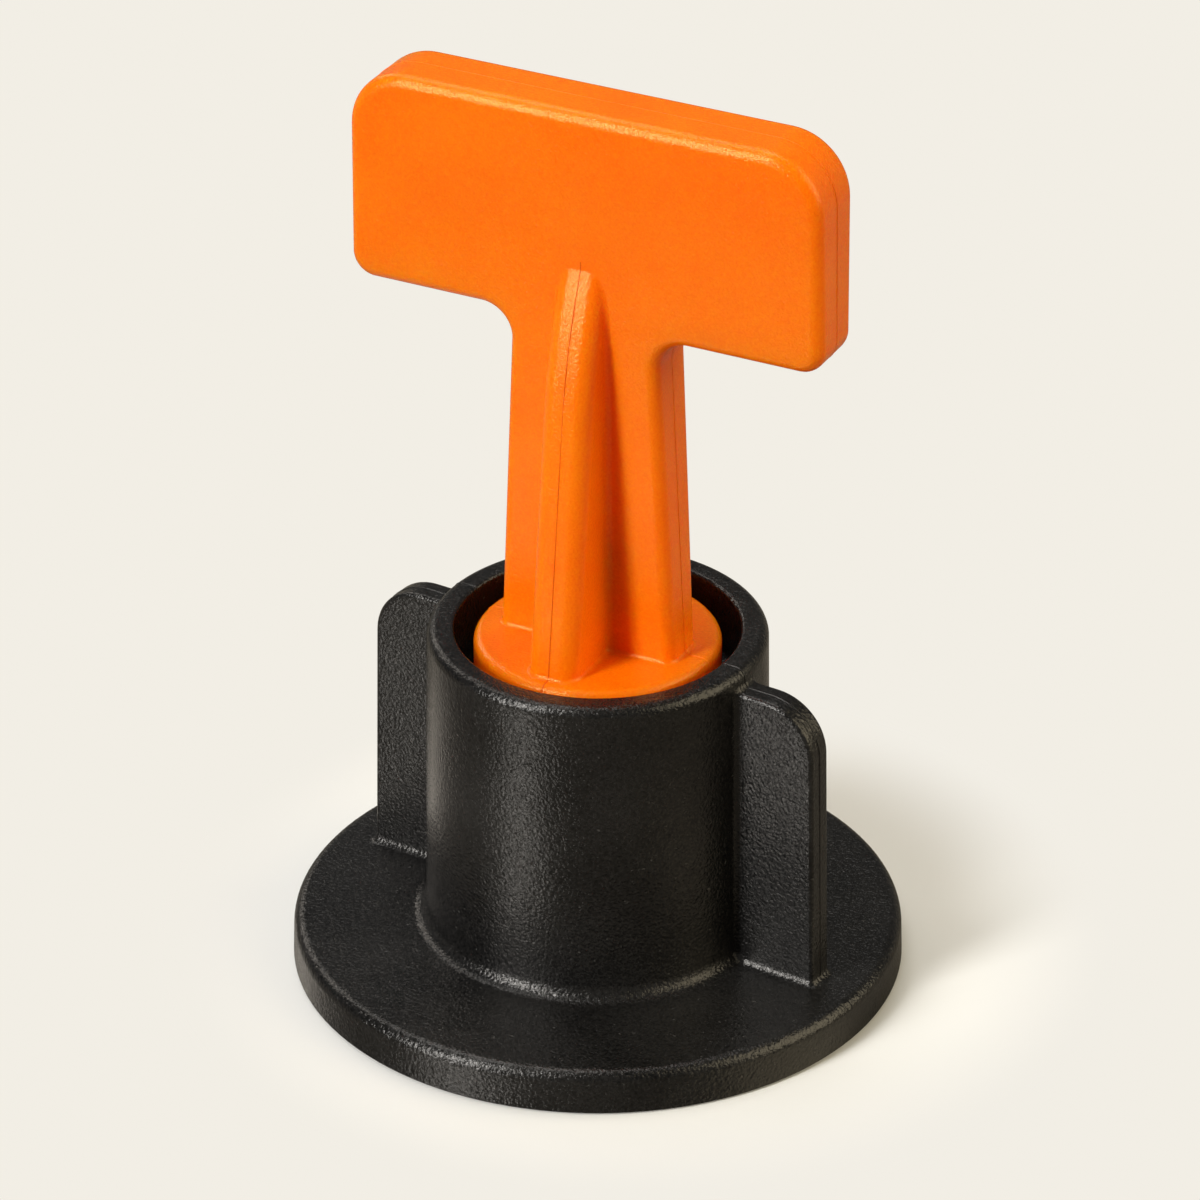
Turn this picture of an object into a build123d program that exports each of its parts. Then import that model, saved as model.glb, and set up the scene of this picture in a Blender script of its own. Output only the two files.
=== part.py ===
from build123d import *
import math
import os

# Reusable tile levelling clip, millimetres, +Z up.
# The origin is on the floor, on the common axis of base, handle and pin.
# The wings of the base lie along X. The clip is shown drawn up, as it is stored.

# Glide ring, which bears on the tile while the base turns on it
ring_inner_radius = 12.6
ring_outer_radius = 18.3
ring_thickness = 1.3
ring_edge = 0.15
snap_height = 0.25
snap_width = 0.6
ring_side_gap = 0.1
ring_top_gap = 0.03
flange_lift = 0.05

# Flange of the base
flange_radius = 20.0
flange_top_radius = 19.9
flange_top = 3.0
flange_edge = 0.8
flange_foot_edge = 0.15

# Sleeve of the base
rim_height = 24.15
sleeve_rim_radius = 10.94
sleeve_foot_radius = 11.25
rim_edge = 0.7
sleeve_foot_fillet = 1.0
bore_radius = 9.2
mouth_depth = 4.5
mouth_edge = 0.25
bore_foot_chamfer = 0.5

# Wings of the base
wing_top_reach = 16.4
wing_foot_reach = 16.9
wing_thickness = 2.1
wing_drop = 1.25
wing_corner = 3.6
wing_edge = 0.3
wing_root_fillet = 0.5

# Thread between base and handle, right-hand
thread_pitch = 3.0
thread_minor_radius = 8.2
thread_crest = 0.8
thread_root = 1.5
thread_foot = 1.6
thread_clearance = 0.2
thread_bury = 0.3
thread_start_angle = 130.0

# Collar and threaded core of the handle
core_radius = 7.95
collar_drop = 0.55
collar_edge = 0.6
core_bottom = 13.2
core_edge = 0.4
core_wall = 1.8
collar_floor = 2.4
core_rib = 1.2
core_thread_low = 13.6
core_thread_high = 19.0
pin_boss_wall = 1.5

# Plate of the handle, a T of stem and paddle whose faces lean apart from the collar to the top
handle_turn = 5.3
handle_height = 60.8
plate_foot_thickness = 3.65
plate_top_thickness = 5.1
plate_edge = 0.8
stem_foot_half_width = 6.25
stem_top_half_width = 5.03
stem_foot_fillet = 0.3
stem_paddle_fillet = 2.0
paddle_height = 14.4
paddle_foot_half_width = 16.3
paddle_top_half_width = 16.02
paddle_top_corner = 4.0
paddle_foot_corner = 1.6

# Ribs along both faces of the plate
rib_width = 3.4
rib_foot_reach = 6.94
rib_bend_reach = 4.92
rib_bow_height = 9.6
rib_run_out = 3.9
rib_corner = 1.1
rib_root_fillet = 0.4

# Steel pin
pin_thickness = 1.6
pin_width = 4.6
pin_foot_width = 11.0
pin_foot_height = 2.2
pin_foot_rise = 1.0
pin_grip = 18.0
pin_corner = 0.5
pin_gap = 0.04

# Largest distance between things that count as touching
touching = 0.001

# Levels and radii that follow from the sizes above
mouth_floor = rim_height - mouth_depth
collar_top = rim_height - collar_drop
wing_top = rim_height - wing_drop
paddle_foot = handle_height - paddle_height
pin_head = core_bottom + pin_grip
plate_foot = collar_top - collar_floor / 2
slot_width = pin_width + 2 * pin_gap
slot_thickness = pin_thickness + 2 * pin_gap
thread_flank = (thread_root - thread_crest) / (bore_radius - thread_minor_radius)
nut_thread_phase = mouth_floor - thread_pitch * thread_start_angle / 360
core_thread_phase = nut_thread_phase + thread_pitch / 2


# Helpers
def rounded(outline, corners, radius):
    # rounds the corners of a flat outline that lie nearest the given points
    picked = [outline.vertices().sort_by_distance(corner)[0] for corner in corners]
    return fillet(picked, radius)


def bevelled(outline, corners, size):
    # cuts the corners of a flat outline that lie nearest the given points
    picked = [outline.vertices().sort_by_distance(corner)[0] for corner in corners]
    return chamfer(picked, size)


def turned(outline):
    # turns a flat outline, drawn as radius and height, about the upright axis
    return revolve(Plane.YZ * outline, Axis.Z)


def slab(plane, outline, thickness):
    # flat outline thickened evenly to both sides of its plane
    return extrude(plane.offset(-thickness / 2) * outline, thickness)


def seams(whole, first, second):
    # edges of a joined body along which its two members meet
    return [
        edge
        for edge in whole.edges()
        if all(
            member.distance_to(edge.position_at(place)) < touching
            for member in (first, second)
            for place in (0.1, 0.5, 0.9)
        )
    ]


def closed(*points):
    return make_face(Polyline(*points, close=True))


def nut_tooth_width(radius):
    return thread_crest + thread_flank * (radius - thread_minor_radius)


def core_tooth_width(radius):
    return thread_pitch - 2 * thread_clearance - nut_tooth_width(radius)


def helical_ridge(root, tip, root_width, tip_width, low, high, phase):
    # trapezoid carried up a right-hand helix and cut off square at both ends
    start = phase + thread_pitch * math.floor((low - phase) / thread_pitch - 1)
    turns = math.ceil((high - start) / thread_pitch) + 1
    path = Helix(thread_pitch, thread_pitch * turns, root, center=(0, 0, start))
    tooth = closed(
        (root, start - root_width / 2),
        (tip, start - tip_width / 2),
        (tip, start + tip_width / 2),
        (root, start + root_width / 2),
    )
    ridge = sweep(Plane.XZ * tooth, path=path, is_frenet=True)
    keep = Pos(0, 0, (low + high) / 2) * Cylinder(flange_radius, high - low)
    return ridge & keep


# Glide ring
def glide_ring():
    middle = ring_thickness / 2
    outline = closed(
        (ring_inner_radius, 0),
        (ring_outer_radius, 0),
        (ring_outer_radius, middle - snap_width / 2),
        (ring_outer_radius + snap_height, middle),
        (ring_outer_radius, middle + snap_width / 2),
        (ring_outer_radius, ring_thickness),
        (ring_inner_radius, ring_thickness),
    )
    corners = [
        (radius, height)
        for radius in (ring_inner_radius, ring_outer_radius)
        for height in (0, ring_thickness)
    ]
    return turned(bevelled(outline, corners, ring_edge))


def ring_recess():
    # space for the glide ring under the flange, with the groove its bead clips into
    middle = ring_thickness / 2
    wall = ring_outer_radius + ring_side_gap
    ceiling = ring_thickness + ring_top_gap
    half_groove = snap_width / 2 + ring_side_gap
    outline = closed(
        (ring_inner_radius - ring_side_gap, 0),
        (wall, 0),
        (wall, middle - half_groove),
        (wall + snap_height, middle),
        (wall, middle + half_groove),
        (wall, ceiling),
        (ring_inner_radius - ring_side_gap, ceiling),
    )
    return turned(outline)


# Base
def base_shell():
    # flange and tapered sleeve, turned in one outline
    outline = closed(
        (bore_radius, flange_lift),
        (flange_radius, flange_lift),
        (flange_top_radius, flange_top),
        (sleeve_foot_radius, flange_top),
        (sleeve_rim_radius, rim_height),
        (bore_radius, rim_height),
    )
    outline = bevelled(outline, [(flange_radius, flange_lift)], flange_foot_edge)
    outline = bevelled(outline, [(bore_radius, flange_lift)], bore_foot_chamfer)
    outline = rounded(outline, [(flange_top_radius, flange_top)], flange_edge)
    outline = rounded(outline, [(sleeve_foot_radius, flange_top)], sleeve_foot_fillet)
    outline = rounded(outline, [(sleeve_rim_radius, rim_height)], rim_edge)
    outline = rounded(outline, [(bore_radius, rim_height)], mouth_edge)
    return turned(outline)


def wing(side):
    # upright plate with a rounded top corner; its root lies inside the sleeve wall
    root = (bore_radius + sleeve_rim_radius) / 2
    low = (ring_thickness + flange_top) / 2
    outline = closed(
        (side * root, low),
        (side * wing_foot_reach, low),
        (side * wing_top_reach, wing_top),
        (side * root, wing_top),
    )
    outline = rounded(outline, [(side * wing_top_reach, wing_top)], wing_corner)
    plate = slab(Plane.XZ, outline, wing_thickness)
    border = [
        edge
        for edge in plate.edges()
        if edge.center().Z > low + touching
        and abs(edge.center().X) > root + touching
        and abs(edge.center().Y) > wing_thickness / 4
    ]
    return fillet(border, wing_edge)


def nut_thread():
    root = bore_radius + thread_bury
    return helical_ridge(
        root,
        thread_minor_radius,
        nut_tooth_width(root),
        nut_tooth_width(thread_minor_radius),
        thread_foot,
        mouth_floor,
        nut_thread_phase,
    )


def base_nut():
    shell = base_shell()
    wings = [wing(side) for side in (-1, 1)]
    nut = shell + wings
    roots = [edge for one_wing in wings for edge in seams(nut, shell, one_wing)]
    nut = fillet(roots, wing_root_fillet)
    nut -= ring_recess()
    return nut + nut_thread()


# Handle
def plate_front():
    # T outline of stem and paddle
    outline = closed(
        (-stem_foot_half_width, plate_foot),
        (stem_foot_half_width, plate_foot),
        (stem_top_half_width, paddle_foot),
        (paddle_foot_half_width, paddle_foot),
        (paddle_top_half_width, handle_height),
        (-paddle_top_half_width, handle_height),
        (-paddle_foot_half_width, paddle_foot),
        (-stem_top_half_width, paddle_foot),
    )
    for half_width, height, radius in (
        (paddle_top_half_width, handle_height, paddle_top_corner),
        (paddle_foot_half_width, paddle_foot, paddle_foot_corner),
        (stem_top_half_width, paddle_foot, stem_paddle_fillet),
    ):
        outline = rounded(outline, [(-half_width, height), (half_width, height)], radius)
    return outline


def plate_half_thickness(height):
    rise = (height - collar_top) / (handle_height - collar_top)
    return (plate_foot_thickness + rise * (plate_top_thickness - plate_foot_thickness)) / 2


def plate_side():
    foot = plate_half_thickness(plate_foot)
    top = plate_half_thickness(handle_height)
    return closed(
        (-foot, plate_foot), (foot, plate_foot), (top, handle_height), (-top, handle_height)
    )


def t_plate():
    plate = slab(Plane.XZ, plate_front(), 2 * plate_top_thickness)
    plate &= slab(Plane.YZ, plate_side(), 3 * paddle_foot_half_width)
    border = [
        edge
        for edge in plate.edges()
        if edge.center().Z > plate_foot + touching
        and abs(edge.center().Y) > plate_foot_thickness / 4
    ]
    return fillet(border, plate_edge)


def rib():
    # leans in from the collar, bows, and runs out in the face of the paddle
    run_out = paddle_foot + rib_run_out
    bend_height = run_out - rib_bow_height
    face = plate_half_thickness(run_out)
    lean = (rib_foot_reach - rib_bend_reach) / (bend_height - collar_top)
    foot = (-rib_foot_reach - lean * (collar_top - plate_foot), plate_foot)
    bend = (-rib_bend_reach, bend_height)
    straight = Line(foot, bend)
    bow = TangentArc(bend, (-face, run_out), tangent=straight % 1)
    # the line of the nose goes on into the plate, half way to its middle
    inward = bow % 1
    tip = bow @ 1 + inward * (face / 2 / inward.X)
    inside = Polyline(bow @ 1, tip, (0, tip.Y), (0, plate_foot), foot)
    wedge = slab(Plane.YZ, make_face([straight, bow, inside]), rib_width)
    corners = [
        edge
        for edge in wedge.edges()
        if plate_foot + touching < edge.center().Z < tip.Y - touching
        and edge.center().Y < -touching
        and abs(edge.center().X) > rib_width / 4
    ]
    return fillet(corners, rib_corner)


def upper_handle():
    plate = t_plate()
    front = rib()
    back = mirror(front, Plane.XZ)
    body = plate + [front, back]
    roots = seams(body, plate, front) + seams(body, plate, back)
    return fillet(roots, rib_root_fillet)


def core():
    # collar and hollow core below it, turned in one outline
    inner = core_radius - core_wall
    outline = closed(
        (0, collar_top),
        (0, collar_top - collar_floor),
        (inner, collar_top - collar_floor),
        (inner, core_bottom),
        (core_radius, core_bottom),
        (core_radius, collar_top),
    )
    outline = rounded(outline, [(core_radius, collar_top)], collar_edge)
    outline = bevelled(outline, [(core_radius, core_bottom)], core_edge)
    return turned(outline)


def core_inside():
    # boss around the pin's slot, tied to the wall by ribs
    height = collar_top - collar_floor / 2 - core_bottom
    boss_width = slot_width + 2 * pin_boss_wall
    boss_thickness = slot_thickness + 2 * pin_boss_wall
    length = 2 * core_radius - core_wall
    inside = Box(boss_width, boss_thickness, height)
    inside += Box(length, core_rib, height)
    inside += Box(core_rib, length, height)
    return Pos(0, 0, core_bottom + height / 2) * inside


def core_thread():
    tip = bore_radius - thread_clearance
    root = core_radius - thread_bury
    return helical_ridge(
        root,
        tip,
        core_tooth_width(root),
        core_tooth_width(tip),
        core_thread_low,
        core_thread_high,
        core_thread_phase,
    )


def t_handle():
    upper = upper_handle()
    lower = core()
    handle = upper + lower
    handle = fillet(seams(handle, upper, lower), stem_foot_fillet)
    handle += core_inside()
    slot_height = pin_head - core_bottom
    slot = Box(slot_width, slot_thickness, slot_height)
    handle -= Pos(0, 0, core_bottom + slot_height / 2) * slot
    handle = Rot(0, 0, handle_turn) * handle
    return handle + core_thread()


# Pin
def t_pin():
    # flat T, foot down, with its head in the handle
    foot_top = pin_foot_rise + pin_foot_height
    outline = closed(
        (-pin_foot_width / 2, pin_foot_rise),
        (pin_foot_width / 2, pin_foot_rise),
        (pin_foot_width / 2, foot_top),
        (pin_width / 2, foot_top),
        (pin_width / 2, pin_head),
        (-pin_width / 2, pin_head),
        (-pin_width / 2, foot_top),
        (-pin_foot_width / 2, foot_top),
    )
    for half_width, height in (
        (pin_foot_width / 2, pin_foot_rise),
        (pin_foot_width / 2, foot_top),
        (pin_width / 2, pin_head),
    ):
        outline = rounded(outline, [(-half_width, height), (half_width, height)], pin_corner)
    return Rot(0, 0, handle_turn) * slab(Plane.XZ, outline, pin_thickness)


if __name__ == "__main__":
    os.makedirs("parts", exist_ok=True)
    export_step(glide_ring(), "parts/glide_ring.step")
    export_step(base_nut(), "parts/base_nut.step")
    export_step(t_handle(), "parts/t_handle.step")
    export_step(t_pin(), "parts/t_pin.step")
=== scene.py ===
import bpy
import bmesh
import math
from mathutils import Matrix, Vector


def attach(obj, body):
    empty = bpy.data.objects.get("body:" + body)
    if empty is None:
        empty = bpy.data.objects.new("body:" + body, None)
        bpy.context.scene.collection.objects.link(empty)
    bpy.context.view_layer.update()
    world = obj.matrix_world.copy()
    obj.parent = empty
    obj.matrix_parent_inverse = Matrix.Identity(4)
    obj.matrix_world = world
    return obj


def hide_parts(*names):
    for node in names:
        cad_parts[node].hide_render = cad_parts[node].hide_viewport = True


# Tile levelling clip: black winged base, orange T-handle, steel pin, glide ring.
# Everything is in metres, standing on z = 0.

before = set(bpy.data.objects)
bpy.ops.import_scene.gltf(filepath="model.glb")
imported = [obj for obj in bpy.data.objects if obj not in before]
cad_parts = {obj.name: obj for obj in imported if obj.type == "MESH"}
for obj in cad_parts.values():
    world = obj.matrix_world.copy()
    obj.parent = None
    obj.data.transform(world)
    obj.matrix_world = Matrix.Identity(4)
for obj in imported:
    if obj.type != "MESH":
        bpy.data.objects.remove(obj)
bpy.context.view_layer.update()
mm = 0.001
mergeWithin = 0.0005 * mm
cutWithin = 0.0001 * mm
handleTurn = math.radians(5.3)  # the handle stands turned by this about the upright axis
print("frame loaded:", sorted(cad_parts))


# helpers for node trees
def newMaterial(name):
    # an empty material and its node tree
    material = bpy.data.materials.new(name)
    material.use_nodes = True
    material.node_tree.nodes.clear()
    return material, material.node_tree


def addNode(tree, kind, **inputs):
    # inputs are given by socket name, with _ for a blank
    node = tree.nodes.new(kind)
    for name, value in inputs.items():
        node.inputs[name.replace("_", " ")].default_value = value
    return node


def noiseOn(tree, coordinates, scale, detail, roughness=0.5, distortion=0.0):
    noise = addNode(tree, "ShaderNodeTexNoise", Scale=scale, Detail=detail, Roughness=roughness)
    noise.inputs["Distortion"].default_value = distortion
    tree.links.new(coordinates, noise.inputs["Vector"])
    return noise


def spread(tree, value, low, high, fromLow=0.0, fromHigh=1.0):
    # carries fromLow..fromHigh onto low..high
    node = tree.nodes.new("ShaderNodeMapRange")
    node.inputs["From Min"].default_value = fromLow
    node.inputs["From Max"].default_value = fromHigh
    node.inputs["To Min"].default_value = low
    node.inputs["To Max"].default_value = high
    tree.links.new(value, node.inputs["Value"])
    return node.outputs["Result"]


def combined(tree, operation, first, second):
    # arithmetic on two values, either of which may be a socket
    node = tree.nodes.new("ShaderNodeMath")
    node.operation = operation
    for socket, value in ((node.inputs[0], first), (node.inputs[1], second)):
        if isinstance(value, (int, float)):
            socket.default_value = value
        else:
            tree.links.new(value, socket)
    return node.outputs[0]


def between(tree, factor, first, second):
    # mixes two colours, either of which may be a socket
    node = tree.nodes.new("ShaderNodeMix")
    node.data_type = "RGBA"
    tree.links.new(factor, node.inputs["Factor"])
    for socket, colour in ((node.inputs[6], first), (node.inputs[7], second)):
        if isinstance(colour, tuple):
            socket.default_value = colour
        else:
            tree.links.new(colour, socket)
    return node.outputs[2]


def bumped(tree, shader, height, depth):
    # gives a shader its relief, in mm, and makes it the material's surface
    bump = addNode(tree, "ShaderNodeBump", Strength=1.0, Distance=depth * mm)
    tree.links.new(height, bump.inputs["Height"])
    tree.links.new(bump.outputs["Normal"], shader.inputs["Normal"])
    output = tree.nodes.new("ShaderNodeOutputMaterial")
    tree.links.new(shader.outputs["BSDF"], output.inputs["Surface"])


# moulded plastics; the first colour of each is its creases, with painted shade, the second its grain tops and
# clouds, with painted light on the tops, the third its painted glints
mouldedFinish = {
    "black": {
        "colour": (0.0012, 0.0012, 0.0012, 1),
        "litTopsAndClouds": (0.0150, 0.0143, 0.0136, 1),
        "glintColour": (0.050, 0.048, 0.045, 1),
        "roughness": (0.13, 0.21),
        "specular": 0.36,
        "shine": (1.0, 0.97, 0.93, 1),
        "glow": 0.0,
        "grainSize": 0.19,  # mm, as is the depth
        "grainDepth": 0.047,
    },
    "orange": {
        "colour": (0.91, 0.145, 0.0008, 1),
        "litTopsAndClouds": (0.97, 0.198, 0.0016, 1),
        "glintColour": (0.98, 0.20, 0.012, 1),
        "roughness": (0.18, 0.27),
        "specular": 0.46,
        "shine": (1.0, 0.80, 0.32, 1),
        "glow": 0.6,
        "grainSize": 0.15,
        "grainDepth": 0.028,
    },
    "orangeEdge": {
        "colour": (0.88, 0.150, 0.001, 1),
        "litTopsAndClouds": (0.92, 0.170, 0.001, 1),
        "glintColour": (0.92, 0.170, 0.001, 1),
        "roughness": (0.30, 0.40),
        "specular": 0.30,
        "shine": (1.0, 0.80, 0.32, 1),
        "glow": 0.0,
        "grainSize": 0.15,
        "grainDepth": 0.004,
    },
    # painted shade: a darker orange for the crown's parting line, standing in for the shade in its groove
    "orangeGrooveShade": {
        "colour": (0.72, 0.090, 0.001, 1),
        "litTopsAndClouds": (0.78, 0.104, 0.001, 1),
        "glintColour": (0.78, 0.104, 0.001, 1),
        "roughness": (0.40, 0.50),
        "specular": 0.25,
        "shine": (1.0, 0.70, 0.20, 1),
        "glow": 0.0,
        "grainSize": 0.15,
        "grainDepth": 0.004,
    },
    "blackSeam": {
        "colour": (0.0090, 0.0085, 0.0080, 1),
        "litTopsAndClouds": (0.0130, 0.0125, 0.0120, 1),
        "glintColour": (0.05, 0.05, 0.05, 1),
        "roughness": (0.26, 0.34),
        "specular": 0.42,
        "shine": (1.0, 0.97, 0.93, 1),
        "glow": 0.0,
        "grainSize": 0.15,
        "grainDepth": 0.010,
    },
    "grey": {
        "colour": (0.040, 0.040, 0.043, 1),
        "litTopsAndClouds": (0.055, 0.055, 0.058, 1),
        "glintColour": (0.09, 0.09, 0.09, 1),
        "roughness": (0.34, 0.46),
        "specular": 0.45,
        "shine": (1, 1, 1, 1),
        "glow": 0.0,
        "grainSize": 0.30,
        "grainDepth": 0.004,
    },
}


# what every moulded surface shares; scales are in periods per grain where nothing else is said
grainShape = {
    "wanderScale": 0.45,
    "wanderReach": 0.9,  # grains
    "creaseRoughness": 0.55,
    "creaseWarp": 0.4,
    "pimpleScale": 0.8,
    "pimpleShare": 0.5,  # of the height
    "cloudScale": 130,  # per metre
    "cloudShare": 0.8,  # of the mix that paints crease shade and clouds
    "shadeAndCloudRange": (0.65, 1.15),
    # painted glints: sparse pale dots where light would catch the grain
    "glintScale": 0.6,
    "glintRange": (0.72, 0.82),
    "roughnessRange": (0.3, 0.7),
    "glowRadius": (1.0, 0.32, 0.06),  # how far red, green and blue spread inside glowing plastic
    "glowDepth": 4.5,  # mm
}


def mouldedPlastic(name, look):
    # leather-like mould grain: wandering creases and small cells, clouds of colour, painted shade in the
    # creases with painted light on the grain tops, and a few painted glints
    shape = grainShape
    material, tree = newMaterial(name)
    place = tree.nodes.new("ShaderNodeTexCoord").outputs["Object"]
    perGrain = 1 / (look["grainSize"] * mm)

    wander = noiseOn(tree, place, perGrain * shape["wanderScale"], 2)
    offset = addNode(tree, "ShaderNodeVectorMath")
    offset.operation = "MULTIPLY_ADD"
    offset.inputs[1].default_value = (shape["wanderReach"] * look["grainSize"] * mm,) * 3
    tree.links.new(wander.outputs["Color"], offset.inputs[0])
    tree.links.new(place, offset.inputs[2])

    cells = addNode(tree, "ShaderNodeTexVoronoi", Scale=perGrain * shape["pimpleScale"])
    tree.links.new(offset.outputs[0], cells.inputs["Vector"])
    creases = noiseOn(
        tree, offset.outputs[0], perGrain, 2, shape["creaseRoughness"], shape["creaseWarp"]
    ).outputs["Fac"]
    clouds = noiseOn(tree, place, shape["cloudScale"], 3).outputs["Fac"]
    glintNoise = noiseOn(tree, place, perGrain * shape["glintScale"], 1).outputs["Fac"]

    # painted shade and light: the creases are darker and the grain tops paler, as light would fall on them,
    # and the clouds add tone that differs at random
    shadeAndCloudMix = combined(tree, "ADD", creases, combined(tree, "MULTIPLY", clouds, shape["cloudShare"]))
    base = between(tree, spread(tree, shadeAndCloudMix, 0.0, 1.0, *shape["shadeAndCloudRange"]), look["colour"], look["litTopsAndClouds"])
    # painted glints: sparse pale dots that stand in for light catching the grain
    paintedGlintMask = spread(tree, glintNoise, 0.0, 1.0, *shape["glintRange"])
    colour = between(tree, paintedGlintMask, base, look["glintColour"])

    shader = addNode(tree, "ShaderNodeBsdfPrincipled")
    shader.inputs["Specular IOR Level"].default_value = look["specular"]
    shader.inputs["Specular Tint"].default_value = look["shine"]
    if look["glow"] > 0:
        shader.inputs["Subsurface Weight"].default_value = look["glow"]
        shader.inputs["Subsurface Radius"].default_value = shape["glowRadius"]
        shader.inputs["Subsurface Scale"].default_value = shape["glowDepth"] * mm
    tree.links.new(colour, shader.inputs["Base Color"])
    roughness = spread(tree, creases, *look["roughness"], *shape["roughnessRange"])
    tree.links.new(roughness, shader.inputs["Roughness"])
    pimples = combined(tree, "MULTIPLY", cells.outputs["Distance"], -shape["pimpleShare"])
    bumped(tree, shader, combined(tree, "ADD", creases, pimples), look["grainDepth"])
    return material


steelFinish = {
    "colour": (0.52, 0.52, 0.53, 1),
    "duller": (0.40, 0.40, 0.41, 1),
    "roughness": (0.22, 0.38),
    "scratchScale": (9000, 9000, 260),  # per metre; long along the pin
    "scratchDepth": 0.0015,  # mm
    "stainScale": 300,
}


def brushedSteel(name, look):
    # rolled strip: fine scratches along the pin
    material, tree = newMaterial(name)
    place = tree.nodes.new("ShaderNodeTexCoord").outputs["Object"]
    along = addNode(tree, "ShaderNodeMapping", Scale=look["scratchScale"])
    tree.links.new(place, along.inputs["Vector"])
    scratches = noiseOn(tree, along.outputs["Vector"], 1, 3).outputs["Fac"]
    stains = noiseOn(tree, place, look["stainScale"], 3).outputs["Fac"]
    shader = addNode(tree, "ShaderNodeBsdfPrincipled", Metallic=1.0)
    tree.links.new(between(tree, stains, look["colour"], look["duller"]), shader.inputs["Base Color"])
    tree.links.new(spread(tree, scratches, *look["roughness"]), shader.inputs["Roughness"])
    bumped(tree, shader, scratches, look["scratchDepth"])
    return material


blackPlastic = mouldedPlastic("blackMoulded", mouldedFinish["black"])
orangePlastic = mouldedPlastic("orangeMoulded", mouldedFinish["orange"])
orangeEdge = mouldedPlastic("orangeEdgeMoulded", mouldedFinish["orangeEdge"])
orangeGrooveShade = mouldedPlastic("orangeGrooveShadeMoulded", mouldedFinish["orangeGrooveShade"])
blackSeam = mouldedPlastic("blackSeamMoulded", mouldedFinish["blackSeam"])
ringPlastic = mouldedPlastic("ringMoulded", mouldedFinish["grey"])
pinSteel = brushedSteel("pinSteel", steelFinish)
print("finishes made")


# pieces that follow the frame's own shape
sharpFrom = math.radians(32)  # edges that bend more than this stay sharp


def plainMesh(piece):
    # the evaluated result as a plain mesh
    return bpy.data.meshes.new_from_object(piece.evaluated_get(bpy.context.evaluated_depsgraph_get()))


def dressNode(nodeName, pieceName, body, material):
    # a merged, smoothly shaded copy of the solid takes its place
    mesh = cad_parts[nodeName].data.copy()
    work = bmesh.new()
    work.from_mesh(mesh)
    bmesh.ops.remove_doubles(work, verts=work.verts, dist=mergeWithin)
    for face in work.faces:
        face.smooth = True
    for edge in work.edges:
        edge.smooth = edge.calc_face_angle(0) < sharpFrom
    work.to_mesh(mesh)
    work.free()
    piece = bpy.data.objects.new(pieceName, mesh)
    bpy.context.scene.collection.objects.link(piece)
    mesh.materials.clear()
    mesh.materials.append(material)
    weighted = piece.modifiers.new("evenShading", "WEIGHTED_NORMAL")
    weighted.keep_sharp = True
    weighted.mode = "FACE_AREA"
    shaded = plainMesh(piece)
    piece.modifiers.clear()
    piece.data = shaded
    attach(piece, body)
    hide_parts(nodeName)


dressNode("base_nut", "baseMoulding", "nut", blackPlastic)
dressNode("t_handle", "handleMoulding", "handle", orangePlastic)
dressNode("t_pin", "pinStrip", "handle", pinSteel)
dressNode("glide_ring", "glideRing", "ring", ringPlastic)
print("mouldings dressed")


# parting lines: fine beads where the parts of the mould met
beadLook = {
    "handleRadius": 0.038,  # mm
    "baseRadius": 0.055,
    "sides": 6,
    "unevenness": 0.5,  # share of the thickness that comes and goes
    "waveScale": 400.0,  # per metre, along which the thickness changes
    "waveRange": (0.3, 0.6),
}

handleLines = {
    "lowest": 22.0,  # mm above the floor; below it the core is inside the base
    "slotTop": 33.0,  # mm; below it the pin's slot is inside the stem
    "slotSide": 3.0,  # mm from the axis, along the paddle
    "slotFace": 1.2,  # mm from the axis, across the paddle
    "faceTop": 52.5,  # mm; the line of the crown ends on the paddle's face a little above the rib
}

baseLines = {
    "lowest": 3.3,  # mm, just above the flange
    "wallMiddle": 9.6,  # mm from the axis
    "rimLow": 23.7,  # mm
}


def cutLine(nodeName, turn, kept):
    # where an upright plane through the axis, turned by this from the wings, cuts a node's surface
    along = Vector((math.cos(turn), math.sin(turn), 0))
    normal = Vector((-math.sin(turn), math.cos(turn), 0))
    work = bmesh.new()
    work.from_mesh(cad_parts[nodeName].data)
    bmesh.ops.remove_doubles(work, verts=work.verts, dist=mergeWithin)
    everything = work.verts[:] + work.edges[:] + work.faces[:]
    cut = bmesh.ops.bisect_plane(
        work, geom=everything, dist=cutWithin, plane_co=(0, 0, 0), plane_no=normal
    )
    points = []
    pairs = []
    numbers = {}
    for edge in cut["geom_cut"]:
        if not isinstance(edge, bmesh.types.BMEdge):
            continue
        middle = (edge.verts[0].co + edge.verts[1].co) / 2
        if not kept(middle.dot(along) / mm, middle.z / mm):
            continue
        for corner in edge.verts:
            if corner not in numbers:
                numbers[corner] = len(points)
                points.append(corner.co.copy())
        pairs.append((numbers[edge.verts[0]], numbers[edge.verts[1]]))
    work.free()
    line = bpy.data.meshes.new(nodeName + "Line")
    line.from_pydata(points, pairs, [])
    return line


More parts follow.
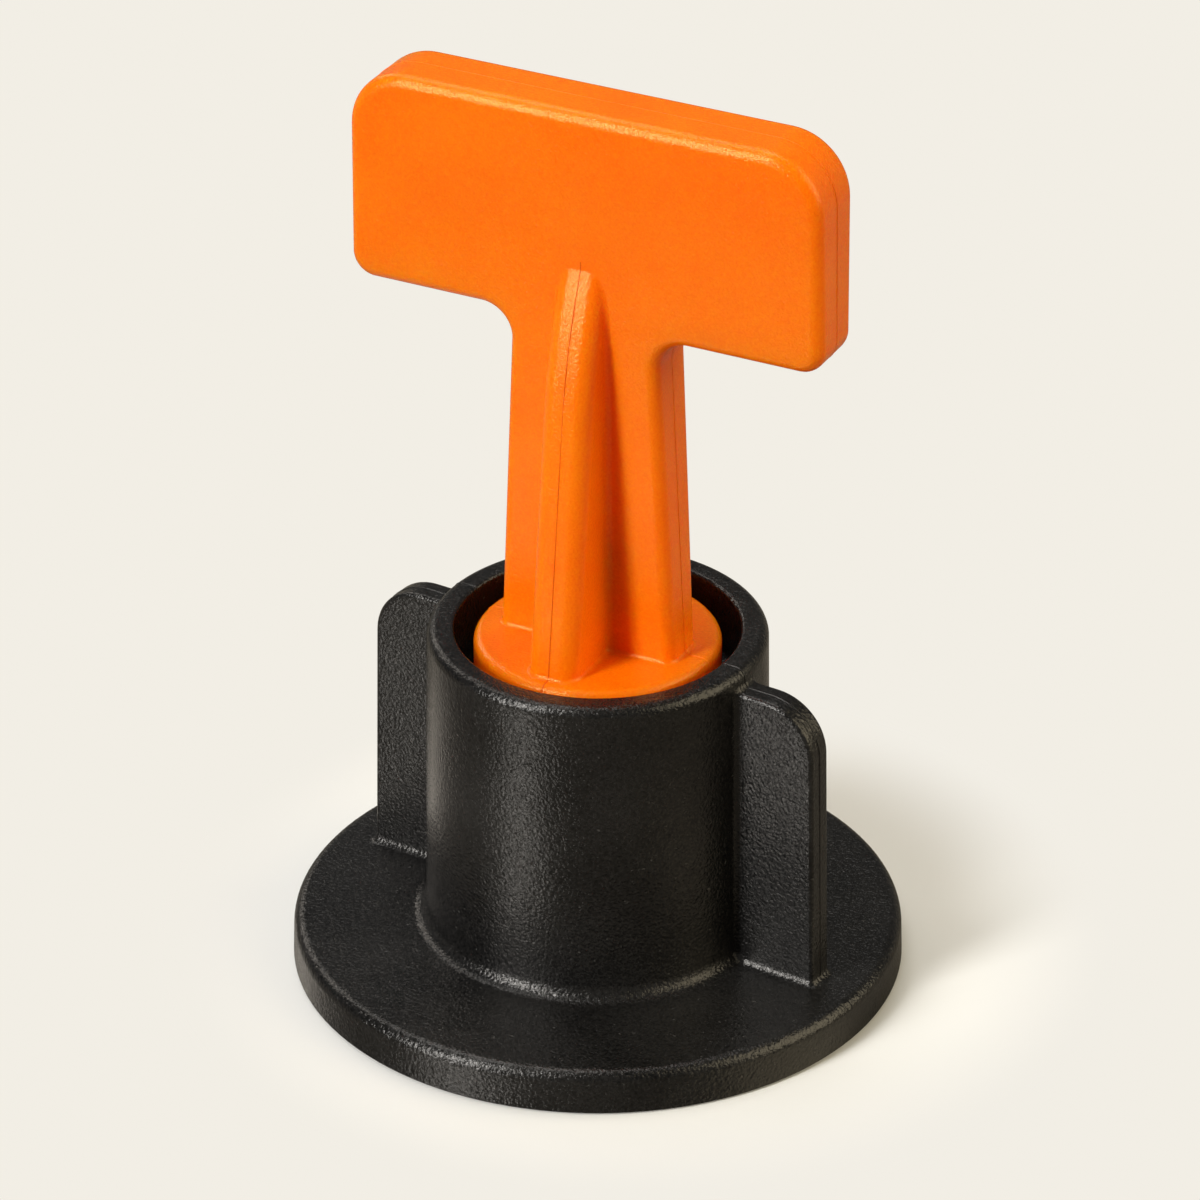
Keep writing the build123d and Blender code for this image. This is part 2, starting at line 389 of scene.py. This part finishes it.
def beadTree():
    # line in, round bead of uneven thickness out
    tree = bpy.data.node_groups.new("partingBead", "GeometryNodeTree")
    tree.interface.new_socket("Line", in_out="INPUT", socket_type="NodeSocketGeometry")
    sockets = {
        "radius": tree.interface.new_socket("Bead Radius", in_out="INPUT", socket_type="NodeSocketFloat"),
        "sides": tree.interface.new_socket("Bead Sides", in_out="INPUT", socket_type="NodeSocketInt"),
        "unevenness": tree.interface.new_socket("Unevenness", in_out="INPUT", socket_type="NodeSocketFloat"),
        "plastic": tree.interface.new_socket("Plastic", in_out="INPUT", socket_type="NodeSocketMaterial"),
    }
    tree.interface.new_socket("Bead", in_out="OUTPUT", socket_type="NodeSocketGeometry")
    given = tree.nodes.new("NodeGroupInput")
    path = tree.nodes.new("GeometryNodeMeshToCurve")
    where = tree.nodes.new("GeometryNodeInputPosition")
    waves = addNode(tree, "ShaderNodeTexNoise", Scale=beadLook["waveScale"], Detail=1.0)
    least = tree.nodes.new("ShaderNodeMath")
    least.operation = "SUBTRACT"
    least.inputs[0].default_value = 1.0
    thickness = tree.nodes.new("ShaderNodeMapRange")
    waveLow, waveHigh = beadLook["waveRange"]
    thickness.inputs["From Min"].default_value = waveLow
    thickness.inputs["From Max"].default_value = waveHigh
    thickness.inputs["To Max"].default_value = 1.0
    profile = tree.nodes.new("GeometryNodeCurvePrimitiveCircle")
    bead = tree.nodes.new("GeometryNodeCurveToMesh")
    smooth = tree.nodes.new("GeometryNodeSetShadeSmooth")
    real = tree.nodes.new("GeometryNodeRealizeInstances")
    plastic = tree.nodes.new("GeometryNodeSetMaterial")
    result = tree.nodes.new("NodeGroupOutput")
    link = tree.links.new
    link(given.outputs["Line"], path.inputs["Mesh"])
    link(where.outputs["Position"], waves.inputs["Vector"])
    link(given.outputs["Unevenness"], least.inputs[1])
    link(least.outputs[0], thickness.inputs["To Min"])
    link(waves.outputs["Fac"], thickness.inputs["Value"])
    link(path.outputs["Curve"], bead.inputs["Curve"])
    link(thickness.outputs["Result"], bead.inputs["Scale"])
    link(given.outputs["Bead Sides"], profile.inputs["Resolution"])
    link(given.outputs["Bead Radius"], profile.inputs["Radius"])
    link(profile.outputs["Curve"], bead.inputs["Profile Curve"])
    bead.inputs["Fill Caps"].default_value = True
    link(bead.outputs["Mesh"], smooth.inputs["Geometry"])
    link(smooth.outputs["Geometry"], real.inputs["Geometry"])
    link(real.outputs["Geometry"], plastic.inputs["Geometry"])
    link(given.outputs["Plastic"], plastic.inputs["Material"])
    link(plastic.outputs["Geometry"], result.inputs["Bead"])
    return tree, sockets


beadNodes, beadSockets = beadTree()


def beadAlong(line, pieceName, radius, material, body):
    piece = bpy.data.objects.new(pieceName, line)
    bpy.context.scene.collection.objects.link(piece)
    made = piece.modifiers.new("bead", "NODES")
    made.node_group = beadNodes
    made[beadSockets["radius"].identifier] = radius * mm
    made[beadSockets["sides"].identifier] = beadLook["sides"]
    made[beadSockets["unevenness"].identifier] = beadLook["unevenness"]
    made[beadSockets["plastic"].identifier] = material
    solid = plainMesh(piece)
    piece.modifiers.clear()
    piece.data = solid
    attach(piece, body)
    print(pieceName, "triangles", sum(len(face.vertices) - 2 for face in solid.polygons))


def onHandleEdge(along, height):
    inSlot = height < handleLines["slotTop"] and abs(along) < handleLines["slotSide"]
    return height > handleLines["lowest"] and not inSlot


def onHandleCrown(along, height):
    inStem = abs(along) < handleLines["slotFace"]
    return handleLines["lowest"] < height < handleLines["faceTop"] and not inStem


def onBaseEdge(along, height):
    onRim = height > baseLines["rimLow"]
    return height > baseLines["lowest"] and (abs(along) > baseLines["wallMiddle"] or onRim)


quarterTurn = math.radians(90)
edgeLine = cutLine("t_handle", handleTurn, onHandleEdge)
crownLine = cutLine("t_handle", handleTurn + quarterTurn, onHandleCrown)
baseLine = cutLine("base_nut", 0.0, onBaseEdge)
beadAlong(edgeLine, "handleEdgeBead", beadLook["handleRadius"], orangeEdge, "handle")
# the crown's bead is darker orange, painted shade of a groove
beadAlong(crownLine, "handleCrownBead", beadLook["handleRadius"], orangeGrooveShade, "handle")
beadAlong(baseLine, "baseEdgeBead", beadLook["baseRadius"], blackSeam, "nut")
print("parting lines made")


# studio
studio = {
    "floorColour": (0.775, 0.770, 0.745, 1),
    "floorBounce": (0.18, 0.16, 0.13, 1),  # what the floor sends back to the object
    "floorSatin": 0.10,  # roughness of the floor's gloss, in which the strip lamp shows
    "floorGloss": 0.24,
    "floorGlossColour": (1.0, 0.98, 0.95, 1),
    "backdrop": (0.887, 0.855, 0.783, 1),
    "satinCentre": (-11.5, -30.0, 0.0),  # mm, to the key lamp's side
    "satinReach": (36.0, 58.0),  # mm from there, over which that gloss fades
    "shadowCentre": (1.2, 3.2, 0.0),  # mm, to the side away from the key lamp
    "shadowReach": (19.5, 31.5),  # mm from there, over which the shaded floor gives way to the plain backdrop
    "roomLight": (0.08, 0.08, 0.08, 1),
    "seenInGloss": 0.05,  # share of the pale background that reflections show
    "floorHalf": 3.0,  # m, as are the lamps' places
    "lampAim": (0, 0, 0.03),
}


def eased(tree, value, low, high, fromLow, fromHigh):
    result = spread(tree, value, low, high, fromLow, fromHigh)
    result.node.interpolation_type = "SMOOTHSTEP"
    return result


def mixed(tree, share, first, second):
    # mixes two shaders; the share is a number or a socket
    mix = tree.nodes.new("ShaderNodeMixShader")
    if isinstance(share, (int, float)):
        mix.inputs["Fac"].default_value = share
    else:
        tree.links.new(share, mix.inputs["Fac"])
    tree.links.new(first, mix.inputs[1])
    tree.links.new(second, mix.inputs[2])
    return mix.outputs["Shader"]


def glossShare(tree, path):
    # how much of the pale background a reflection or a look through glass shows
    indirect = combined(tree, "MAXIMUM", path.outputs["Is Glossy Ray"], path.outputs["Is Transmission Ray"])
    return combined(tree, "MULTIPLY", indirect, studio["seenInGloss"])


def fadedOut(tree, place, inside, outside, centre, reach):
    # goes over from one value to the other between two distances from a point of the floor
    distance = addNode(tree, "ShaderNodeVectorMath")
    distance.operation = "DISTANCE"
    distance.inputs[1].default_value = [part * mm for part in centre]
    tree.links.new(place, distance.inputs[0])
    near, far = reach
    return eased(tree, distance.outputs["Value"], inside, outside, near * mm, far * mm)


def makeFloor():
    half = studio["floorHalf"]
    mesh = bpy.data.meshes.new("floor")
    corners = [(-half, -half, 0), (half, -half, 0), (half, half, 0), (-half, half, 0)]
    mesh.from_pydata(corners, [], [(0, 1, 2, 3)])
    floor = bpy.data.objects.new("floor", mesh)
    bpy.context.scene.collection.objects.link(floor)
    material, tree = newMaterial("paleFloor")
    place = tree.nodes.new("ShaderNodeTexCoord").outputs["Object"]
    plain = fadedOut(tree, place, 0.0, 1.0, studio["shadowCentre"], studio["shadowReach"])

    shaded = addNode(tree, "ShaderNodeBsdfDiffuse", Color=studio["floorColour"])
    backdrop = addNode(tree, "ShaderNodeEmission", Color=studio["backdrop"], Strength=1.0)
    seen = mixed(tree, plain, shaded.outputs["BSDF"], backdrop.outputs["Emission"])

    path = tree.nodes.new("ShaderNodeLightPath")
    bounce = addNode(tree, "ShaderNodeBsdfDiffuse", Color=studio["floorBounce"])
    satin = addNode(tree, "ShaderNodeBsdfGlossy", Color=studio["floorGlossColour"])
    satin.inputs["Roughness"].default_value = studio["floorSatin"]
    gloss = fadedOut(tree, place, studio["floorGloss"], 0.0, studio["satinCentre"], studio["satinReach"])
    unseen = mixed(tree, gloss, bounce.outputs["BSDF"], satin.outputs["BSDF"])
    unseen = mixed(tree, glossShare(tree, path), unseen, seen)
    output = tree.nodes.new("ShaderNodeOutputMaterial")
    tree.links.new(mixed(tree, path.outputs["Is Camera Ray"], unseen, seen), output.inputs["Surface"])
    mesh.materials.append(material)


def makeWorld():
    world = bpy.data.worlds.new("paleRoom")
    bpy.context.scene.world = world
    world.use_nodes = True
    tree = world.node_tree
    tree.nodes.clear()
    seen = addNode(tree, "ShaderNodeBackground", Color=studio["backdrop"], Strength=1.0)
    light = addNode(tree, "ShaderNodeBackground", Color=studio["roomLight"], Strength=1.0)
    path = tree.nodes.new("ShaderNodeLightPath")
    share = combined(tree, "MAXIMUM", path.outputs["Is Camera Ray"], glossShare(tree, path))
    output = tree.nodes.new("ShaderNodeOutputWorld")
    room = mixed(tree, share, light.outputs["Background"], seen.outputs["Background"])
    tree.links.new(room, output.inputs["Surface"])


cameraView = {
    "lens": 174.0,  # mm
    "sensorWidth": 36.0,
    "azimuth": 32.0,  # degrees
    "elevation": 29.35,
    "distance": 0.3694,  # m
    "aimHeight": 0.025927,
    "sideways": 0.000143,
    "clip": (0.01, 20.0),
}

softLights = {
    # each as seen from the camera: metres right, towards it and up, then size, power and colour
    "keyLight": {"at": (-1.55, 1.15, 1.14), "size": (0.42, 2.3), "power": 67, "colour": (1.0, 0.99, 0.97)},
    "topLight": {"at": (-0.3, -0.7, 2.3), "size": (1.5, 1.5), "power": 24, "colour": (1.0, 0.99, 0.97)},
    "rightFill": {"at": (2.0, 0.35, 1.1), "size": (2.1, 2.1), "power": 46, "colour": (1.0, 0.88, 0.62)},
    "backFill": {"at": (-1.1, -1.7, 1.1), "size": (0.8, 0.8), "power": 6, "colour": (1.0, 0.93, 0.84)},
}


def cameraAxes():
    azimuth = math.radians(cameraView["azimuth"])
    elevation = math.radians(cameraView["elevation"])
    back = Vector((
        math.sin(azimuth) * math.cos(elevation),
        -math.cos(azimuth) * math.cos(elevation),
        math.sin(elevation),
    ))
    right = Vector((math.cos(azimuth), math.sin(azimuth), 0))
    return back, right


def makeCamera():
    back, right = cameraAxes()
    data = bpy.data.cameras.new("camera")
    data.lens = cameraView["lens"]
    data.sensor_width = cameraView["sensorWidth"]
    data.clip_start, data.clip_end = cameraView["clip"]
    camera = bpy.data.objects.new("camera", data)
    bpy.context.scene.collection.objects.link(camera)
    camera.location = (
        right * cameraView["sideways"]
        + Vector((0, 0, cameraView["aimHeight"]))
        + back * cameraView["distance"]
    )
    camera.rotation_mode = "QUATERNION"
    camera.rotation_quaternion = (-back).to_track_quat("-Z", "Y")
    bpy.context.scene.camera = camera


def makeLight(name, look):
    back, right = cameraAxes()
    near = Vector((back.x, back.y, 0)).normalized()
    toRight, towards, up = look["at"]
    data = bpy.data.lights.new(name, "AREA")
    data.shape = "RECTANGLE"
    data.size, data.size_y = look["size"]
    data.energy = look["power"]
    data.color = look["colour"]
    lamp = bpy.data.objects.new(name, data)
    bpy.context.scene.collection.objects.link(lamp)
    lamp.location = right * toRight + near * towards + Vector((0, 0, up))
    lamp.rotation_euler = (Vector(studio["lampAim"]) - lamp.location).to_track_quat("-Z", "Y").to_euler()


makeFloor()
makeWorld()
makeCamera()
for lightName, lightLook in softLights.items():
    makeLight(lightName, lightLook)
print("studio built")

bpy.context.scene.view_settings.view_transform = "Standard"
